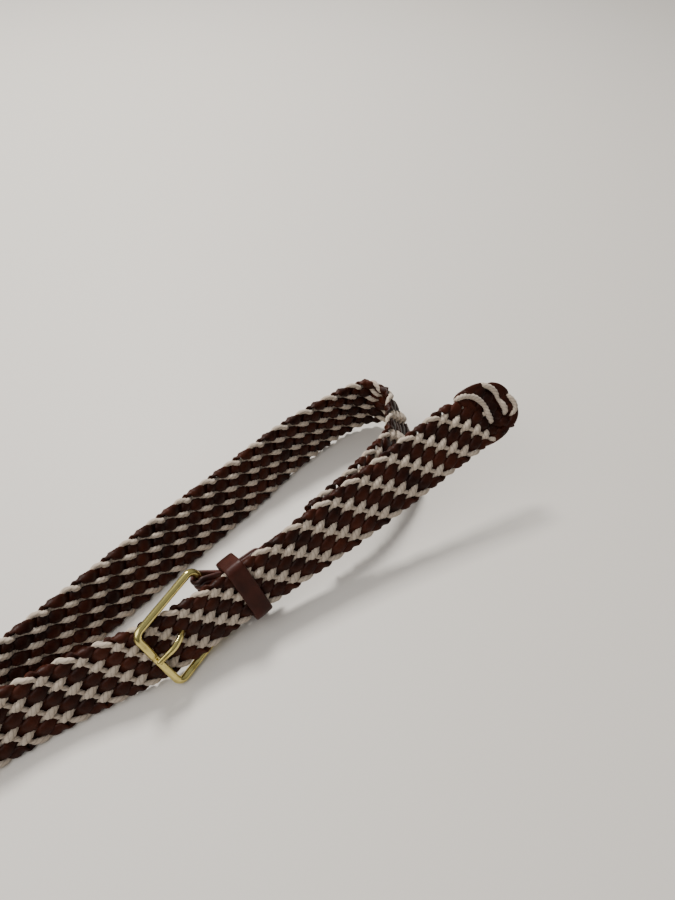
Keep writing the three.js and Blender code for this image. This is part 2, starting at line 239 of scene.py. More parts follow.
def catmull_rom(rows, steps):
    """A smooth run through all rows, with the same number of steps in each span."""
    rows = np.vstack([2 * rows[0] - rows[1], rows, 2 * rows[-1] - rows[-2]])
    t = (np.arange(steps) / steps)[:, None]
    spans = []
    for p0, p1, p2, p3 in zip(rows, rows[1:], rows[2:], rows[3:]):
        spans.append(0.5 * (2 * p1 + (p2 - p0) * t + (2 * p0 - 5 * p1 + 4 * p2 - p3) * t ** 2
                            + (3 * p1 - p0 - 3 * p2 + p3) * t ** 3))
    return np.vstack([*spans, rows[-2]])


def resampled(rows, at, new_at):
    """The columns of the rows, which stand at one scale, read off at other places on that scale."""
    return np.stack([np.interp(new_at, at, rows[:, k]) for k in range(rows.shape[1])], -1)


def reach_along(way):
    """How far along the way each of its points lies."""
    return np.concatenate([[0], np.cumsum(np.linalg.norm(np.diff(way, axis=0), axis=1))])


def even_run(route):
    """A smooth run through the route in even steps: reach, middle, across, outward normal and width."""
    rows = catmull_rom(route, ROUTE_STEPS)
    reach = reach_along(rows[:, :3])
    even = np.linspace(0, reach[-1], round(reach[-1] / RUN_SPACING) + 1)
    rows = resampled(rows, reach, even)
    across = unit(rows[:, 3:6])
    tangent = unit(np.gradient(rows[:, :3], axis=0))
    normal = unit(np.cross(tangent, across))
    return {"reach": even, "mid": rows[:, :3], "across": across, "normal": normal, "width": rows[:, 6]}


def on_run(run, scale, places):
    """Middle, across and normal of a run at places on a scale of it, such as its reach."""
    return [resampled(run[key], scale, places) for key in ("mid", "across", "normal")]


def on_near(x):
    """Middle, across and normal of the near stretch at a place along X."""
    mid, across, normal = on_run(near, near["mid"][:, 0], [x])
    return mid[0], unit(across[0]), unit(normal[0])


near = even_run(stations(FRONT_ROUTE))
inner_rows = []
for along, layers in INNER_ROUTE:
    mid, across, normal = on_near(along * LOOP_LENGTH)
    behind = layers * (STRAP_THICKNESS + LAYER_GAP)
    inner_rows.append(np.concatenate([mid - normal * behind, across, [STRAP_WIDTH]]))
strap = even_run(np.vstack([inner_rows, stations(LOOP_ROUTE), stations(FRONT_ROUTE)]))
strap_length = strap["reach"][-1]

# The solid stands with the origin under its middle. Its sides that the rounded tip doesn't reach tell
# how far the route has to be moved, and its lower edge has been pressed flat.
rim = np.concatenate([strap["mid"] + s * share * strap["across"] * strap["width"][:, None]
                      + d * deep * strap["normal"] * STRAP_THICKNESS
                      for share, deep in STRAP_SECTION for s in (-1, 1) for d in (-1, 1)])
cad_low, cad_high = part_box("braided_strap")
shift = np.array([cad_low.x - rim[:, 0].min(), cad_high.y - rim[:, 1].max(),
                  cad_low.z - rim[:, 2].min() - FLOOR_FLAT])
for run in (near, strap):
    run["mid"] = run["mid"] + shift

# How the braid is gathered: places along the strap and how many cream rows have come by there
BRAID_ROWS = np.array([
    # reach mm, rows
    (0, -37.8),
    (217, -25.96),
    (360, -17.96),
    (690, 0.0),
    (744.6, 3.0),
    (776.8, 5.0),
    (793.5, 6.0),
    (829, 8.0),
    (927, 13.0),
    (982, 16.0),
    (1037, 19.0),
])
# A strand sets out from the upper edge every half row. It takes a share of that step to cross each of
# the others, and the rest of a step to rise by one place. The first ones set out before the strap does.
STEP = 0.5
CROSS_SHARE = 0.265
LEAD_ROWS = 8
ROW_PHASE = 0.27
PLACES = 12
PITCH_ACROSS = 2.82 * MM
ROW_SAMPLES = 2000
SMOOTH_HALF = 35

rows_fine = np.linspace(BRAID_ROWS[0, 1], BRAID_ROWS[-1, 1], ROW_SAMPLES)
reach_fine = np.interp(rows_fine, BRAID_ROWS[:, 1], BRAID_ROWS[:, 0] * MM)
smoothing = np.hanning(2 * SMOOTH_HALF + 1)
smoothing /= smoothing.sum()
before = 2 * reach_fine[0] - reach_fine[SMOOTH_HALF:0:-1]
after = 2 * reach_fine[-1] - reach_fine[-2:-SMOOTH_HALF - 2:-1]
reach_fine = np.convolve(np.concatenate([before, reach_fine, after]), smoothing, "valid")

# Heights of the strands over the strap's middle surface, and how far out they turn at the edges
CORD_RADIUS = 1.30 * MM
LEATHER_HALF = 0.85 * MM
STRAND_HEIGHTS = {
    # crossing on top, crossing below, rising on top, rising below, at the edge, way out
    "cord": np.array([0.80, 0.65, 1.45, -1.35, 1.05, 2.15]) * MM,
    "leather": np.array([0.35, -1.00, 1.05, -1.10, 0.85, 2.30]) * MM,
}
# Widths: of leather in mm, of a cord as a share of its usual thickness
STRAND_WIDTHS = {
    # crossing, turning, rising on top, its upper shoulder, its lower shoulder, rising below, waist
    "cord": (0.92, 0.96, 1.54, 1.26, 1.42, 1.12, 0.86),
    "leather": (3.9, 5.3, 6.6, 6.2, 6.3, 6.6, 5.0),
}
# A crossing strand is wider or slimmer where it lies below, and leather is wider beside the edges
CROSS_BELOW = {"cord": 0.62, "leather": 1.40}
EDGE_WIDER = 1.35
# Where a rising strand goes over and under, as shares of the way from one crossing to the next. Its
# height is a little less at the ends of each rise, and beside the edges cords rise less.
RISE_LATE = 0.10
RISE_WAY = {
    # leaving the lower side, middle height, reaching the top, leaving the top, middle, reaching below
    "cord": (0.22, 0.62, 0.84, 0.30, 0.58, 0.80),
    "leather": (0.24, 0.50, 0.76, 0.28, 0.54, 0.80),
}
ALMOST_ON_TOP = 0.93
ALMOST_BELOW = 0.95
EDGE_RISES = (1, 2, 9, 10)
EDGE_FLOAT = 0.72

# The turns at the edges: share of the turn, way out, height and width as shares, roll in degrees. A
# cord goes round in an arc, a strip lies flat up to the edge and folds over it.
UP_TURN = {
    "cord": [
        (0.16, 0.55, -0.85, 1.08, 6),
        (0.34, 0.90, -0.50, 1.08, 28),
        (0.48, 1.00, 0.15, 1.04, 90),
        (0.62, 0.74, 0.80, 1.08, 150),
        (0.84, 0.36, 0.95, 1.05, 174),
    ],
    "leather": [
        (0.22, 0.24, -0.95, 1.06, 8),
        (0.38, 0.56, -0.75, 1.06, 40),
        (0.52, 1.00, -0.05, 1.02, 90),
        (0.66, 0.56, 0.80, 1.06, 140),
        (0.84, 0.26, 0.95, 1.06, 170),
    ],
}
DOWN_TURN = {
    "cord": [
        (0.12, 0.26, 0.95, 1.05, 182),
        (0.34, 0.60, 0.95, 1.08, 190),
        (0.52, 0.90, 0.55, 1.06, 215),
        (0.64, 1.00, -0.15, 1.02, 270),
        (0.80, 0.80, -0.80, 1.06, 338),
    ],
    "leather": [
        (0.14, 0.18, 0.95, 1.02, 181),
        (0.34, 0.26, 0.95, 1.06, 190),
        (0.50, 0.56, 0.75, 1.06, 222),
        (0.64, 1.00, -0.10, 1.02, 270),
        (0.78, 0.56, -0.80, 1.06, 318),
        (0.92, 0.22, -0.95, 1.06, 352),
    ],
}


def strand_points(first, kind):
    """Control points of one strand: rows, place across, height, width, roll in degrees, rising or not
    and the row it crosses with."""
    cross_up, cross_down, rise_up, rise_down, edge_height, turn_out = STRAND_HEIGHTS[kind]
    crossing, turning, on_top, upper, lower, below, waist = STRAND_WIDTHS[kind]
    leave, climb, arrive, part, sink, settle = RISE_WAY[kind]
    to_the_top = [(0, rise_down, below), (leave, ALMOST_BELOW * rise_down, below), (climb, 0, waist),
                  (arrive, ALMOST_ON_TOP * rise_up, lower)]
    to_below = [(0, rise_up, on_top), (part, ALMOST_ON_TOP * rise_up, upper), (sink, 0, waist),
                (settle, ALMOST_BELOW * rise_down, below)]
    cross = STEP * CROSS_SHARE
    rise = STEP - cross
    middle = PLACES / 2
    edge = (middle - 1) * PITCH_ACROSS
    points = []
    launch_index = first
    while True:
        launch = np.floor(BRAID_ROWS[0, 1]) - LEAD_ROWS + ROW_PHASE + launch_index * STEP
        if launch > BRAID_ROWS[-1, 1] + 1:
            return np.array(points)
        turns = (launch_index - first) // PLACES * 360
        start = launch + 0.5 * cross - STEP
        for share, out, height, width, roll in UP_TURN[kind]:
            points.append((start + share * STEP, edge + out * turn_out, height * edge_height,
                           width * turning, turns + roll, 0, launch))
        for m in range(PLACES - 1, 0, -1):
            height = cross_up if m % 2 else cross_down
            width = crossing * (1 if m % 2 else CROSS_BELOW[kind])
            if kind == "leather" and m in (1, PLACES - 1):
                width *= EDGE_WIDER
            points.append((launch + (PLACES - 0.5 - m) * cross, (m - middle) * PITCH_ACROSS, height,
                           width, turns + 180, 0, launch))
        start = launch + (PLACES - 1.5) * cross
        for share, out, height, width, roll in DOWN_TURN[kind]:
            points.append((start + share * STEP, -edge - out * turn_out, height * edge_height,
                           width * turning, turns + roll, 0, launch))
        start = launch + (PLACES - 0.5) * cross
        for i in range(1, PLACES):
            stages = to_the_top if i % 2 else to_below
            by_edge = EDGE_FLOAT if kind == "cord" and i in EDGE_RISES else 1
            for share, height, width in stages[:1] if i == PLACES - 1 else stages:
                step = i + share + RISE_LATE
                height *= by_edge if height > 0 else 1
                points.append((start + step * rise, (step - middle) * PITCH_ACROSS, height, width,
                               turns + 360, 1, launch))
        launch_index += PLACES


# The braid's rows are drawn together towards the rounded tip, more so on the lower side. All strands
# end a little before it, the last cords before they rise or start a new row, and leather keeps off the
# tip's upper shoulder.
DRAWN_REACH = 22.8 * MM
DRAWN_SLANT = 0.97
DRAWN_LEAST = 6 * MM
DRAWN_MOST = 27 * MM
DRAWN_SOFT = 3 * MM
BRAID_START = 3 * MM
LAST_FULL_ROW = 14.8
TIP_LAST = 2.2 * MM
TIP_NO_RISE = 19 * MM
TIP_NO_RISE_SLANT = 0.75
TIP_SHOULDER = (10 * MM, 11.5 * MM)
STRAND_STEPS = 8
SHORTEST_STRAND = 12
FEWEST_STEPS = 4


def drawn_together(from_tip, v):
    reach = np.clip(DRAWN_REACH - DRAWN_SLANT * v, DRAWN_LEAST, DRAWN_MOST)
    return from_tip + 0.5 * DRAWN_SOFT * np.logaddexp(0, (reach - from_tip) / DRAWN_SOFT)


def even_way(way, normal, width, roll, spacing):
    """A way in even steps: reach, points, side, up and width, turned round itself by the roll."""
    reach = reach_along(way)
    even = np.linspace(0, reach[-1], max(round(reach[-1] / spacing), FEWEST_STEPS) + 1)
    values = resampled(np.column_stack([way, normal, width, roll]), reach, even)
    tangent = unit(np.gradient(values[:, :3], axis=0))
    side = unit(np.cross(tangent, values[:, 3:6]))
    up = np.cross(side, tangent)
    roll = -values[:, 7][:, None]
    turned_side = side * np.cos(roll) + up * np.sin(roll)
    turned_up = up * np.cos(roll) - side * np.sin(roll)
    return even, values[:, :3], turned_side, turned_up, values[:, 6]


def lay_on_strap(place, v, height, width, roll, spacing):
    """A way over the strap's surface in even steps, kept inside the rounding of the tip."""
    into_tip = np.clip((place - strap_length + TIP_ROUNDING) / TIP_ROUNDING, 0, 1)
    side_share = np.clip(v / (STRAP_WIDTH / 2), -1, 1)
    rounded = strap_length - TIP_ROUNDING + TIP_ROUNDING * into_tip * np.sqrt(1 - side_share ** 2 / 2)
    place = np.where(into_tip > 0, rounded, place)
    v = v * np.sqrt(1 - into_tip ** 2 / 2) * np.interp(place, strap["reach"], strap["width"]) / STRAP_WIDTH
    mid, across, normal = on_run(strap, strap["reach"], place)
    way = mid + across * v[:, None] + normal * height[:, None]
    return even_way(way, normal, width, np.radians(roll), spacing)


def strand_runs(first, kind, spacing):
    """The strand's smooth way through the braid, in one piece or cut where it ends at the tip."""
    fine = catmull_rom(strand_points(first, kind), STRAND_STEPS)
    rows, v, height, width, roll, rising, launch = fine.T
    place = np.interp(rows, rows_fine, reach_fine)
    from_tip = drawn_together(strap_length - place, v)
    keep = (place > BRAID_START) & (from_tip > TIP_LAST)
    if kind == "cord":
        no_rise = TIP_NO_RISE + TIP_NO_RISE_SLANT * np.maximum(v, 0)
        keep &= ~((rising > 0.5) & (from_tip < no_rise))
        keep &= ~((rising < 0.5) & (launch > LAST_FULL_ROW))
    else:
        keep &= ~((from_tip < TIP_SHOULDER[0]) & (v > TIP_SHOULDER[1]))
    place = strap_length - from_tip
    edges = np.flatnonzero(np.diff(np.concatenate([[0], keep.astype(int), [0]])))
    for begin, end in edges.reshape(-1, 2):
        if end - begin > SHORTEST_STRAND:
            part = slice(begin, end)
            yield lay_on_strap(place[part], v[part], height[part], width[part], roll[part], spacing)


def tube_mesh(name, runs):
    """One mesh of many tubes. Each run is its reach and its rings; a reach one longer closes the tube to
    a loop. The UV map holds the way along in mm and the share of the way round."""
    vertices, quads, caps, uvs = [], [], [], []
    start = 0
    for reach, rings in runs:
        count, sides, _ = rings.shape
        closed = len(reach) > count
        vertices.append(rings.reshape(-1, 3))
        i, j = np.meshgrid(np.arange(len(reach) - 1), np.arange(sides), indexing="ij")
        here = i * sides
        ahead = (i + 1) % count * sides
        beside = (j + 1) % sides
        corners = np.stack([here + j, here + beside, ahead + beside, ahead + j], -1)
        quads.append(start + corners.reshape(-1, 4))
        lower, upper = reach[i] / MM, reach[i + 1] / MM
        left, right = j / sides, (j + 1) / sides
        uvs.append(np.stack([lower, left, lower, right, upper, right, upper, left], -1).reshape(-1, 2))
        if not closed:
            caps.append(start + np.arange(sides)[::-1])
            caps.append(start + (count - 1) * sides + np.arange(sides))
        start += count * sides
    vertices = np.vstack(vertices)
    quads = np.vstack(quads)
    loops = np.concatenate([quads.ravel(), *caps])
    totals = np.array([4] * len(quads) + [len(cap) for cap in caps])
    mesh = bpy.data.meshes.new(name)
    mesh.vertices.add(len(vertices))
    mesh.vertices.foreach_set("co", vertices.astype(np.float32).ravel())
    mesh.loops.add(len(loops))
    mesh.loops.foreach_set("vertex_index", loops.astype(np.int32))
    mesh.polygons.add(len(totals))
    mesh.polygons.foreach_set("loop_start", np.concatenate([[0], np.cumsum(totals)[:-1]]).astype(np.int32))
    mesh.polygons.foreach_set("loop_total", totals.astype(np.int32))
    mesh.polygons.foreach_set("use_smooth", np.ones(len(totals), bool))
    mesh.update()
    along = mesh.uv_layers.new(name="along_strand")
    flat = np.zeros((len(loops), 2), np.float32)
    flat[:len(quads) * 4] = np.vstack(uvs)
    along.data.foreach_set("uv", flat.ravel())
    mesh.validate()
    piece = bpy.data.objects.new(name, mesh)
    bpy.context.scene.collection.objects.link(piece)
    return piece


# A cord is laid up of three plies, which show as lumps that wind round it. A strip has a rounded section
# and gets a little thicker where it is wide. Both are pressed flat where they reach the floor.
CORD_SIDES = 12
CORD_STEP = 0.55 * MM
CORD_PLIES = 3
CORD_LAY = 6.6 * MM
PLY_DEPTH = 0.15
PLY_SWELL = 1.5
LEATHER_SIDES = 12
LEATHER_STEP = 0.9 * MM
LEATHER_ROUNDING = (0.78, 0.82)
LEATHER_NARROW = 3.9
LEATHER_FULLER = 0.10
STRAND_ENDS = (0.35, 0.66, 0.84, 0.95)
FLOOR_GAP = 0.05 * MM
FLOOR_SOFT = 0.25 * MM


def rings_round(way, side, across, up, deep):
    """A ring of points round each point of the way, from distances to its side and upwards."""
    side, up = (np.broadcast_to(v, way.shape)[:, None] for v in (side, up))
    return way[:, None] + (side * across[..., None] + up * deep[..., None])


def squarish(sides, across_power, deep_power):
    """A section between an ellipse and a rectangle, as shares across and deep."""
    angle = 2 * np.pi * np.arange(sides) / sides
    c, s = np.cos(angle), np.sin(angle)
    return np.sign(c) * np.abs(c) ** across_power, np.sign(s) * np.abs(s) ** deep_power


def rounded_ends(rings, way, shares):
    """The same rings with the first and last few drawn in, so that a cut strand ends round."""
    for k, share in enumerate(shares):
        rings[k] = way[k] + (rings[k] - way[k]) * share
        rings[-1 - k] = way[-1 - k] + (rings[-1 - k] - way[-1 - k]) * share
    return rings


def on_floor(rings):
    """The same rings, pressed flat where they reach down to the floor."""
    rings[..., 2] = FLOOR_GAP + FLOOR_SOFT * np.logaddexp(0, (rings[..., 2] - FLOOR_GAP) / FLOOR_SOFT)
    return rings


def cord_run(reach, way, side, up, width):
    angle = 2 * np.pi * np.arange(CORD_SIDES) / CORD_SIDES
    twist = 2 * np.pi * reach[:, None] / CORD_LAY
    lumps = np.abs(np.cos(CORD_PLIES / 2 * (angle - twist)))
    radius = CORD_RADIUS * width[:, None] * (1 - PLY_DEPTH + PLY_DEPTH * PLY_SWELL * lumps)
    rings = rings_round(way, side, radius * np.cos(angle), up, radius * np.sin(angle))
    return reach, on_floor(rounded_ends(rings, way, STRAND_ENDS))


def strip_run(reach, way, side, up, width, thicker=1.0):
    fuller = LEATHER_FULLER * np.maximum(width - LEATHER_NARROW, 0) * MM
    half_thickness = thicker * (LEATHER_HALF + fuller)
    flat, deep = squarish(LEATHER_SIDES, *LEATHER_ROUNDING)
    rings = rings_round(way, side, width[:, None] * MM / 2 * flat, up, half_thickness[:, None] * deep)
    return reach, on_floor(rounded_ends(rings, way, STRAND_ENDS))


# The folded ends of leather that go round the tip, and the last cream cords, bent over it in three arcs
TIP_STEPS = 10
TIP_THICKER = 1.3
TIP_LEATHER = [
    # each point: mm from the tip, across (mm), height (mm), width (mm)
    [(29, 14.5, -0.6, 4.2), (26, 10.5, 0.0, 5.4), (24.3, 5.5, 0.1, 5.4), (23.6, 0.5, -0.5, 4.4)],
    [(22, -2.5, -0.4, 4.6), (18, -6.0, 0.1, 5.6), (14.5, -9.6, 0.2, 5.6), (11, -12.4, -0.4, 4.4)],
    [(31, 16.0, -0.8, 3.6), (25, 15.9, 0.6, 4.4), (19, 15.2, 0.9, 4.6), (13.5, 13.8, 0.6, 4.2),
     (10, 12.6, -0.5, 3.2)],
    [(11, 12.2, -0.4, 3.6), (7.4, 10.4, 0.7, 4.6), (4.2, 7.4, 0.9, 4.8), (2.3, 3.6, 0.6, 4.4),
     (1.6, 0.2, -0.5, 3.4)],
    [(1.5, -2.0, -0.6, 3.4), (1.9, -6.2, 0.5, 4.6), (3.7, -10.0, 0.9, 4.8), (7.2, -13.2, 0.7, 4.4),
     (11, -15.0, -0.3, 3.4)],
    [(9.8, -13.9, -0.5, 3.2), (13.5, -15.2, 0.6, 4.2), (18, -15.8, 0.9, 4.4), (23, -16.0, 0.4, 4.0),
     (27, -16.1, -0.8, 3.2)],
]
TIP_CORDS = [
    # the same, with the width as a share of the cord's usual thickness
    [(31.5, 15.2, -0.9, 0.9), (28.6, 15.6, 0.7, 1.1), (24.5, 14.4, 1.3, 1.2), (20.5, 11.0, 1.5, 1.25),
     (18.5, 7.0, 1.5, 1.2), (17.5, 3.0, 1.3, 1.0), (18.2, -1.0, 1.6, 1.25), (18.5, -5.5, 1.4, 1.15),
     (18.8, -7.5, -0.4, 0.9)],
    [(14.5, 15.3, -0.8, 0.9), (11.5, 13.4, 0.8, 1.15), (8.7, 10.0, 1.4, 1.2), (7.7, 6.0, 1.3, 1.1),
     (8.0, 2.5, 0.9, 0.85), (7.6, -1.5, 1.6, 1.25), (7.8, -5.0, 1.5, 1.2), (9.5, -7.5, 0.4, 1.0)],
    [(2.4, 2.5, -0.6, 0.9), (1.5, 0.2, 1.0, 1.1), (0.9, -2.6, 1.5, 1.15), (1.1, -5.5, 1.6, 1.15),
     (2.8, -8.0, 1.5, 1.1), (5.3, -9.2, 0.9, 1.0), (6.8, -9.8, -0.6, 0.9)],
]
# Which strands, by the place where they first set out, go together in one piece
CORD_GROUPS = ((0, 2), (4, 6), (8, 10))
LEATHER_GROUPS = ((1, 3, 5), (7, 9, 11))


def tip_run(points, spacing):
    fine = catmull_rom(np.array(points, float), TIP_STEPS)
    from_tip, v, height = fine[:, :3].T * MM
    mid, across, normal = on_run(strap, strap["reach"], strap_length - from_tip)
    way = mid + across * v[:, None] + normal * height[:, None]
    return even_way(way, normal, fine[:, 3], np.zeros(len(fine)), spacing)


cords = []
for number, group in enumerate(CORD_GROUPS):
    runs = [cord_run(*part) for first in group for part in strand_runs(first, "cord", CORD_STEP)]
    if number == 0:
        runs.extend(cord_run(*tip_run(points, CORD_STEP)) for points in TIP_CORDS)
    cords.append(tube_mesh(f"cream_cords_{number + 1}", runs))

strips = []
for number, group in enumerate(LEATHER_GROUPS):
    runs = [strip_run(*part) for first in group for part in strand_runs(first, "leather", LEATHER_STEP)]
    if number == 0:
        runs.extend(strip_run(*tip_run(points, LEATHER_STEP), TIP_THICKER) for points in TIP_LEATHER)
    strips.append(tube_mesh(f"leather_strips_{number + 1}", runs))


def group_with(name, inputs, outputs):
    """An empty shader node group with named sockets, its input node and its output node."""
    group = bpy.data.node_groups.new(name, "ShaderNodeTree")
    for in_out, sockets in (("INPUT", inputs), ("OUTPUT", outputs)):
        for socket, kind in sockets.items():
            group.interface.new_socket(name=socket, in_out=in_out, socket_type="NodeSocket" + kind)
    return group, group.nodes.new("NodeGroupInput"), group.nodes.new("NodeGroupOutput")


def maths(tree, operation, *parts):
    """The result of a maths node, whose parts are numbers or other nodes' outputs."""
    return add(tree, "Math", dict(enumerate(parts)), operation=operation).outputs[0]


def remapped(tree, source, given, wanted):
    """A value moved from one span, given, to another, wanted."""
    spans = zip(("From Min", "From Max", "To Min", "To Max"), (*given, *wanted))
    return add(tree, "MapRange", {"Value": source, **dict(spans)}).outputs["Result"]


# Waxed leather: cloudy dye, fine pores and creases. Put in the braid's strips, the fold and the keeper.
LEATHER_DYED = (0.35, 0.70)
LEATHER_ROUGH = (0.34, 0.52)
LEATHER_RELIEF = 0.2 * MM
CREASE_SCALE = 900.0
CREASE_EDGE = (0.0, 0.12)

leather_look, given, result = group_with(
    "waxed_leather",
    {"Dark": "Color", "Light": "Color", "Cloud scale": "Float", "Pore scale": "Float"},
    {"Color": "Color", "Roughness": "Float", "Height": "Float"})
place_on = add(leather_look, "TexCoord").outputs["Object"]
cloud = add(leather_look, "TexNoise", {"Vector": place_on, "Scale": given.outputs["Cloud scale"],
                                       "Detail": 4.0, "Roughness": 0.6})
pores = add(leather_look, "TexNoise", {"Vector": place_on, "Scale": given.outputs["Pore scale"],
                                       "Detail": 3.0, "Roughness": 0.65})
creases = add(leather_look, "TexVoronoi", {"Vector": place_on, "Scale": CREASE_SCALE},
              feature="DISTANCE_TO_EDGE")
crease_line = ramp(leather_look, creases.outputs["Distance"], CREASE_EDGE)
dyed = ramp(leather_look, cloud.outputs["Fac"], LEATHER_DYED)
feed(leather_look, result, {
    "Color": blended(leather_look, dyed, given.outputs["Dark"], given.outputs["Light"]),
    "Roughness": remapped(leather_look, cloud.outputs["Fac"], (0.0, 1.0), LEATHER_ROUGH),
    "Height": maths(leather_look, "MULTIPLY", pores.outputs["Fac"], crease_line),
})


def leather_material(name, dark, light, cloud_scale, pore_scale, bump, shine):
    material, tree, shader = new_material(name)
    look = add(tree, "Group", {"Dark": (*dark, 1), "Light": (*light, 1), "Cloud scale": cloud_scale,
                               "Pore scale": pore_scale}, node_tree=leather_look)
    relief = add(tree, "Bump", {"Height": look.outputs["Height"], "Strength": bump,
                                "Distance": LEATHER_RELIEF})
    feed(tree, shader, {
        "Base Color": look.outputs["Color"],
        "Roughness": look.outputs["Roughness"],
        "Normal": relief.outputs["Normal"],
        "Specular IOR Level": shine,
    })
    return material


leather_paint = leather_material(
    "braid_leather", dark=(0.013, 0.0024, 0.0006), light=(0.052, 0.0100, 0.0030),
    cloud_scale=70.0, pore_scale=2600.0, bump=0.30, shine=0.14)

# Cream cotton: soft matt yarn laid up in three plies, with painted shade down between them and fine fibres
# that run along the plies.
CREAM_PALE = (0.555, 0.462, 0.368, 1)
CREAM_DEEP = (0.45, 0.352, 0.262, 1)
STAIN_SCALE = 90.0
FIBRE_STRETCH = (0.5, 22.0, 1.0)
FIBRE_SCALE = 1.6
# The painted shade in the valleys between the plies: how far up the ply it fades out, and how dark it is
# there
VALLEY_SHADE_SPAN = (0.0, 0.45)
VALLEY_SHADE_TONES = (0.62, 1.0)
FLECK_SPAN = (0.3, 0.7)
FLECK_TONES = (0.86, 1.08)
FIBRE_HEIGHT = 0.5
COTTON_RELIEF = 0.25 * MM

cotton_paint, tree, shader = new_material("cream_cotton")
lie = add(tree, "UVMap", uv_map="along_strand")
split = add(tree, "SeparateXYZ", {0: lie.outputs["UV"]})
turn = maths(tree, "MULTIPLY", split.outputs["X"], -1.0 / (CORD_LAY / MM))
round_ply = maths(tree, "ADD", split.outputs["Y"], turn)
ply_angle = maths(tree, "MULTIPLY", round_ply, CORD_PLIES * np.pi)
ply = maths(tree, "ABSOLUTE", maths(tree, "COSINE", ply_angle))
fibre_way = add(tree, "CombineXYZ", {"X": split.outputs["X"], "Y": round_ply})
fibre_way = add(tree, "Mapping", {"Vector": fibre_way.outputs[0], "Scale": FIBRE_STRETCH})
fibres = add(tree, "TexNoise", {"Vector": fibre_way.outputs[0], "Scale": FIBRE_SCALE, "Detail": 4.0,
                                "Roughness": 0.7})
place_on = add(tree, "TexCoord").outputs["Object"]
stain = add(tree, "TexNoise", {"Vector": place_on, "Scale": STAIN_SCALE, "Detail": 3.0})
cream = blended(tree, stain.outputs["Fac"], CREAM_PALE, CREAM_DEEP)
# Painted shade: the cream is darkened down in the valleys between the plies
valley_shade = remapped(tree, ply, VALLEY_SHADE_SPAN, VALLEY_SHADE_TONES)
fleck = remapped(tree, fibres.outputs["Fac"], FLECK_SPAN, FLECK_TONES)
toned = add(tree, "VectorMath", {0: cream, 3: maths(tree, "MULTIPLY", valley_shade, fleck)}, operation="SCALE")
fluff = maths(tree, "MULTIPLY_ADD", fibres.outputs["Fac"], FIBRE_HEIGHT, ply)
relief = add(tree, "Bump", {"Height": fluff, "Strength": 0.6, "Distance": COTTON_RELIEF})
feed(tree, shader, {
    "Base Color": toned.outputs[0],
    "Normal": relief.outputs["Normal"],
    "Roughness": 0.92,
    "Sheen Weight": 0.25,
    "Sheen Roughness": 0.5,
})

for piece in cords:
    piece.data.materials.append(cotton_paint)
for piece in strips:
    piece.data.materials.append(leather_paint)
for piece in cords + strips:
    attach(piece, "root")
    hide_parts("braided_strap")


# --- Buckle frame: one polished brass rod bent to a rectangle and joined, with a shallow filed seat
# between two faint collars where the prong's end rests. It hangs askew on its leather fold.
BAR_RADIUS = 1.9 * MM
BUCKLE_LENGTH = 40 * MM
BUCKLE_INSIDE = 33.8 * MM
BUCKLE_CORNER = 4 * MM
BUCKLE_SKEW = 10
BUCKLE_RAISE = 1.2 * MM
PRONG_ASIDE = 1.2 * MM
HEEL_ALONG = -0.289
HEEL_TO_STRAP = 8.4 * MM
STRAP_TO_OUTER = 5.7 * MM
CORNER_STEPS = 12
SIDE_STEPS = 40
BAR_SIDES = 28
# The seat and its collars, by the distance from the seat's middle: the seat fades out over the first
# span, a collar rises over the second and falls over the third
OUTER_BAR = -0.49 * BUCKLE_LENGTH
SEAT_FADES = (1.7 * MM, 2.2 * MM)
COLLAR_RISES = (2.1 * MM, 2.5 * MM)
COLLAR_FALLS = (2.9 * MM, 3.3 * MM)
SEAT_DEPTH = 0.2
COLLAR_HEIGHT = 0.05


def rotated(v, axis, degrees):
    c, s = np.cos(np.radians(degrees)), np.sin(np.radians(degrees))
    return v * c + np.cross(axis, v) * s + axis * np.dot(axis, v) * (1 - c)


def rounded_rectangle(half_u, half_v, radius, corner_steps, side_steps):
    """Points and outward directions round a rectangle, anticlockwise from its +u side."""
    points, outs = [], []
    corners = np.array([(1, 1), (-1, 1), (-1, -1), (1, -1)]) * (half_u - radius, half_v - radius)
    for k, centre in enumerate(corners):
        for degrees in np.linspace(90 * k, 90 * k + 90, corner_steps + 1):
            out = np.array([np.cos(np.radians(degrees)), np.sin(np.radians(degrees))])
            points.append(centre + out * radius)
            outs.append(out)
        side = corners[(k + 1) % 4] - centre
        for share in np.arange(1, side_steps) / side_steps:
            points.append(centre + out * radius + side * share)
            outs.append(out)
    return np.array(points), np.array(outs)


def smooth_step(x, low, high):
    t = np.clip((x - low) / (high - low), 0, 1)
    return t * t * (3 - 2 * t)


def loop_reach(way):
    """How far along a closed way each point lies, with one more for the way back to the first."""
    return reach_along(np.vstack([way, way[:1]]))


heel_x = HEEL_ALONG * LOOP_LENGTH + shift[0]
buckle_run = np.sqrt(BUCKLE_LENGTH ** 2 - (HEEL_TO_STRAP + STRAP_TO_OUTER) ** 2)
heel_mid, heel_across, heel_normal = on_near(heel_x)
outer_mid, outer_across, outer_normal = on_near(heel_x - buckle_run)
heel = heel_mid - heel_normal * HEEL_TO_STRAP
outer = outer_mid + outer_normal * STRAP_TO_OUTER
inward = unit(heel - outer)
buckle_across = heel_across + outer_across
buckle_across = unit(buckle_across - inward * np.dot(buckle_across, inward))
buckle_normal = np.cross(inward, buckle_across)
inward = rotated(inward, buckle_normal, BUCKLE_SKEW)
buckle_across = rotated(buckle_across, buckle_normal, BUCKLE_SKEW)
buckle_centre = (heel + outer) / 2 + buckle_across * BUCKLE_RAISE
heel = buckle_centre + inward * BUCKLE_LENGTH / 2
prong_eye = heel + buckle_across * PRONG_ASIDE

